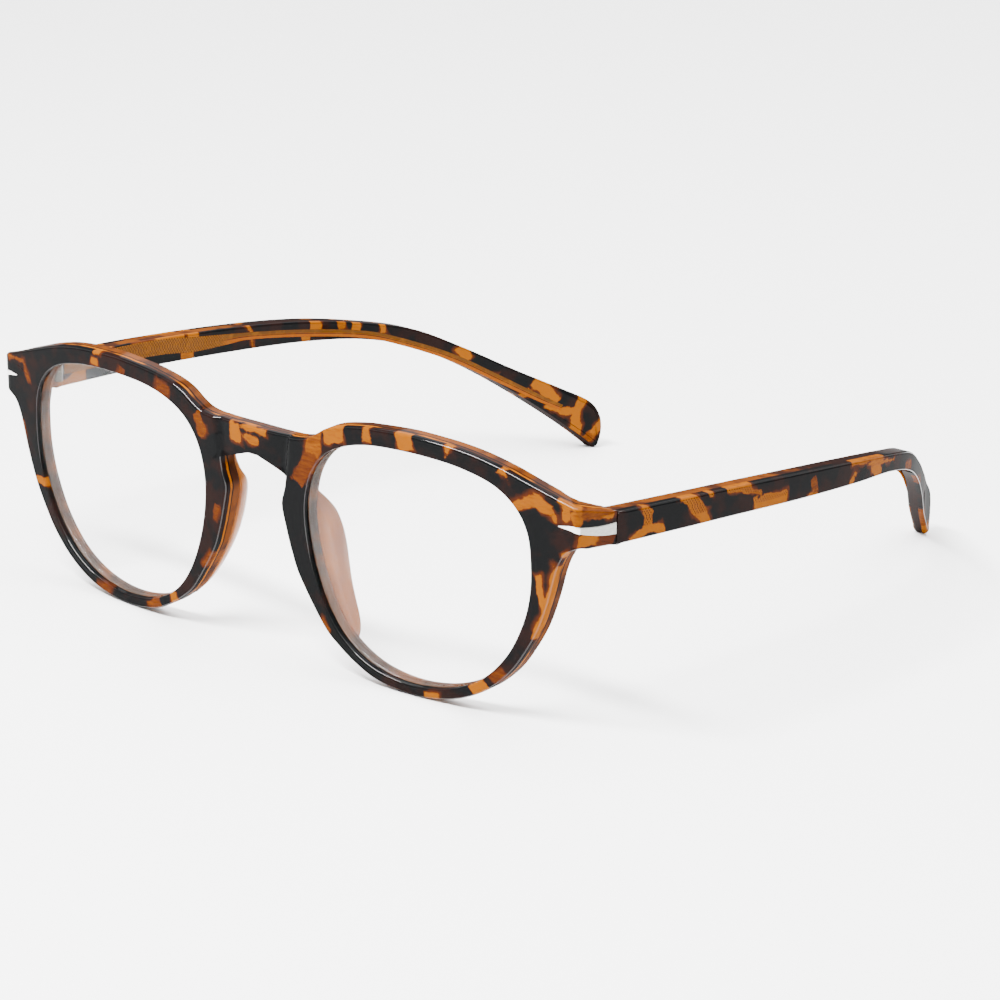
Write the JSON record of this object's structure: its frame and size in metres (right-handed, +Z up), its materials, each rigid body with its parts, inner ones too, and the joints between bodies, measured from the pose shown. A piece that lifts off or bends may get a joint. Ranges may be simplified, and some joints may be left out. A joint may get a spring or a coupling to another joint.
{
  "type": "folding reading glasses",
  "caption": "Rounded tortoiseshell acetate reading glasses with a keyhole bridge, bonded nose pads, corner trims and temples that fold inwards on screwed hinges.",
  "frame": {"origin": "middle of the open glasses' footprint, on the surface that they stand on", "axes": "+X to the wearer's left, +Y from the front towards the ears, +Z up"},
  "size_m": [0.143, 0.1528, 0.0482],
  "materials": {
    "tortoise_front": "polished tortoiseshell acetate, dark with amber patches, over a clear amber back layer",
    "tortoise_temple": "polished tortoiseshell acetate, dark with amber patches",
    "lens": "clear, polished",
    "amber_pad": "translucent amber acetate, polished",
    "trim": "satin silver",
    "hinge": "bright nickel silver",
    "screw": "turned steel",
    "core": "patterned metal seen through amber"
  },
  "bodies": {
    "front": {"front_frame": "tortoise_front", "lens_left": "lens", "lens_right": "lens", "nose_pad_left": "amber_pad", "nose_pad_right": "amber_pad", "end_trim_left": "trim", "end_trim_right": "trim", "front_hinge_left": "hinge", "front_hinge_right": "hinge", "hinge_screw_left": "screw", "hinge_screw_right": "screw"},
    "left_temple": {"temple_left": "tortoise_temple", "core_wire_left": "core", "temple_hinge_left": "hinge"},
    "right_temple": {"temple_right": "tortoise_temple", "core_wire_right": "core", "temple_hinge_right": "hinge"}
  },
  "joints": [
    {"name": "temple_left_fold", "type": "hinge", "parent": "front", "child": "left_temple", "pos_m": [0.0656, -0.06014, 0.036], "axis": [0, 0, 1], "range_deg": [0, 83]},
    {"name": "temple_right_fold", "type": "hinge", "parent": "front", "child": "right_temple", "pos_m": [-0.0656, -0.06014, 0.036], "axis": [0, 0, -1], "range_deg": [0, 76]}
  ]
}
